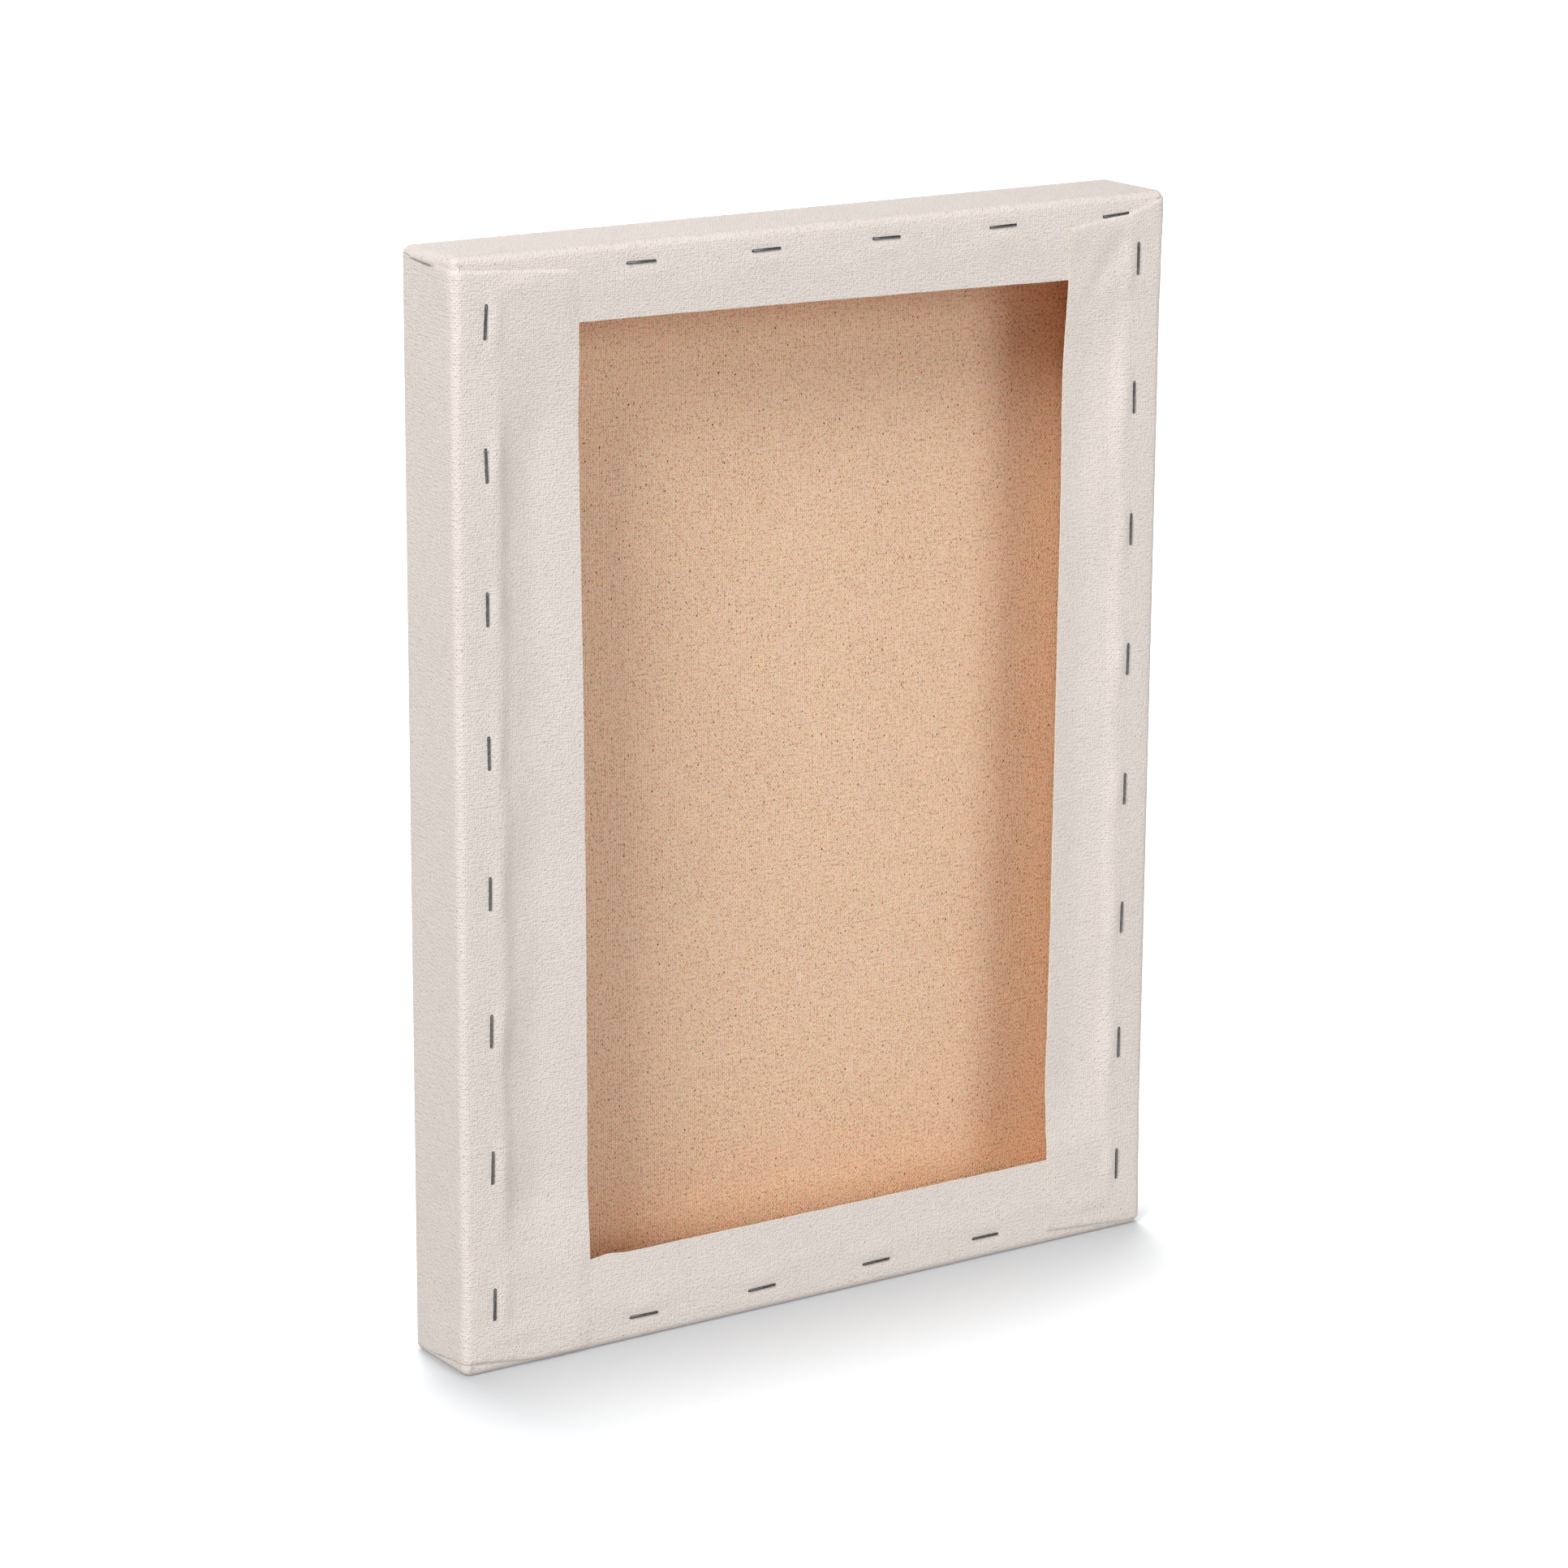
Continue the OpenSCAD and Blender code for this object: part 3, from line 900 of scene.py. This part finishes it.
steel = {
    "coat": 0.8,
    "coatRoughness": 0.1,
    "drawnScale": 900.0,         # per metre
    "drawnDetail": 3.0,
    # very dark base colour: a painted reflection of dark surroundings, much darker than bare steel, with
    # the drawn streaks of the wire
    "tones": ((0.3, (0.05, 0.05, 0.052)), (0.7, (0.12, 0.12, 0.118))),
    "roughness": (0.10, 0.24),
    "relief": 0.00002,
    "reliefStrength": 0.4,
}


def makeSteel(s):
    material, tree, shader = newMaterial("stapleSteel", {
        "Metallic": 1.0, "Coat Weight": s["coat"], "Coat Roughness": s["coatRoughness"]})
    coords = addNode(tree, "TexCoord").outputs["Object"]
    drawn = speckle(tree, coords, s["drawnScale"], s["drawnDetail"])
    tree.links.new(ramp(tree, drawn, s["tones"]), shader.inputs["Base Color"])
    tree.links.new(ranged(tree, drawn, *s["roughness"]), shader.inputs["Roughness"])
    addBump(tree, shader, drawn, s["relief"], s["reliefStrength"])
    return material


stapleSteel = makeSteel(steel)
for side in wraps:
    makeStaples(side).data.materials.append(stapleSteel)
print("staples:", sum(len(row) for row in staples.values()))


pine = {
    "roughness": 0.62,
    "gloss": 0.3,
    "scales": (6, 60),           # per metre: with the grain, across it
    "wanderDetail": 3.0,
    "rings": 70.0,
    "ringTone": 0.22,
    "fibreScale": 14,            # against the rings
    "fibreDetail": 4.0,
    "tones": ((0.15, (0.58, 0.30, 0.11)), (0.5, (0.78, 0.47, 0.21)), (0.85, (0.86, 0.58, 0.31))),
    "relief": 0.00015,
    "reliefStrength": 0.7,
}


def makePine(name, along, s):
    # grain runs the length of the bar
    material, tree, shader = newMaterial(name, {
        "Roughness": s["roughness"], "Specular IOR Level": s["gloss"]})
    coords = addNode(tree, "TexCoord").outputs["Object"]
    withGrain, across = s["scales"]
    squeeze = [withGrain if axis == along else across for axis in "XYZ"]
    wander = speckle(tree, mapped(tree, coords, squeeze), 1.0, s["wanderDetail"])
    rings = mathNode(tree, "SINE", mathNode(tree, "MULTIPLY", wander, s["rings"]))
    finer = mapped(tree, coords, [v * s["fibreScale"] for v in squeeze])
    fibre = speckle(tree, finer, 1.0, s["fibreDetail"])
    tone = timesPlus(tree, rings, s["ringTone"], fibre)
    tree.links.new(ramp(tree, tone, s["tones"]), shader.inputs["Base Color"])
    addBump(tree, shader, tone, s["relief"], s["reliefStrength"])
    return material


levelPine = makePine("pineLevel", "X", pine)
uprightPine = makePine("pineUpright", "Z", pine)
for side in ("top", "bottom", "left", "right"):
    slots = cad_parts["bar_" + side].data.materials
    slots.clear()
    slots.append(levelPine if side in levelSides else uprightPine)
print("bars: pine with the grain along each bar")


studio = {
    "floorSize": 12.0,
    "floorTone": (0.575, 0.588, 0.60, 1),
    "floorRoughness": 0.9,
    "floorGloss": 0.1,
    "skyGlow": 0.5,
    "sky": ((0.0, (1.0,) * 3), (0.52, (1.0,) * 3), (1.0, (0.5,) * 3)),   # from below to above
    # place, point it is aimed at, width, watts
    "lamps": (
        ((-2.84, -1.51, 2.9), (0, 0, 0.2), 1.5, 146.0),
        ((1.0, -3.73, 1.24), (0, 0, 0.2), 2.0, 54.0),
        ((0.8, 3.4, 0.9), (0, 0, 0.2), 2.0, 105.0),
    ),
    "floorLamps": (   # these two light only the floor
        ((0.05, 0.25, 2.6), (0, 0, 0), 0.55, 68.0),
        ((2.4, 3.6, 3.5), (2.4, 3.6, 0), 4.0, 245.0),
    ),
}


def addLamp(name, place, aim, width, watts):
    data = bpy.data.lights.new(name, "AREA")
    data.size = width
    data.energy = watts
    lamp = bpy.data.objects.new(name, data)
    lamp.location = place
    lamp.rotation_mode = "QUATERNION"
    lamp.rotation_quaternion = (Vector(aim) - Vector(place)).to_track_quat("-Z", "Y")
    scene.collection.objects.link(lamp)
    return lamp


def makeFloor(s):
    bm = bmesh.new()
    bmesh.ops.create_grid(bm, x_segments=1, y_segments=1, size=s["floorSize"] / 2)
    floor = linkPiece(bm, "floor")
    floor.data.materials.append(newMaterial("paleFloor", {
        "Base Color": s["floorTone"],
        "Roughness": s["floorRoughness"],
        "Specular IOR Level": s["floorGloss"],
    })[0])
    floor.visible_diffuse = False     # the lower half of the sky stands for its bounce
    floor.visible_shadow = False
    return floor


def makeSky(s):
    world = bpy.data.worlds.new("studioSky")
    world.use_nodes = True
    tree = world.node_tree
    sky = tree.nodes["Background"]
    height = addNode(tree, "SeparateXYZ", {0: addNode(tree, "TexCoord").outputs["Generated"]}).outputs["Z"]
    level = addNode(tree, "MapRange", {"Value": height, "From Min": -1.0}).outputs[0]
    tree.links.new(ramp(tree, level, s["sky"]), sky.inputs["Color"])
    sky.inputs["Strength"].default_value = s["skyGlow"]
    scene.world = world


def makeStudio(s):
    floor = makeFloor(s)
    makeSky(s)
    for i, lamp in enumerate(s["lamps"]):
        addLamp("lamp%d" % i, *lamp)
    floorOnly = bpy.data.collections.new("floorOnly")
    floorOnly.objects.link(floor)
    for i, lamp in enumerate(s["floorLamps"]):
        addLamp("floorLamp%d" % i, *lamp).light_linking.receiver_collection = floorOnly
    scene.view_settings.view_transform = "Standard"
    scene.view_settings.look = "None"


makeStudio(studio)
print("studio set")
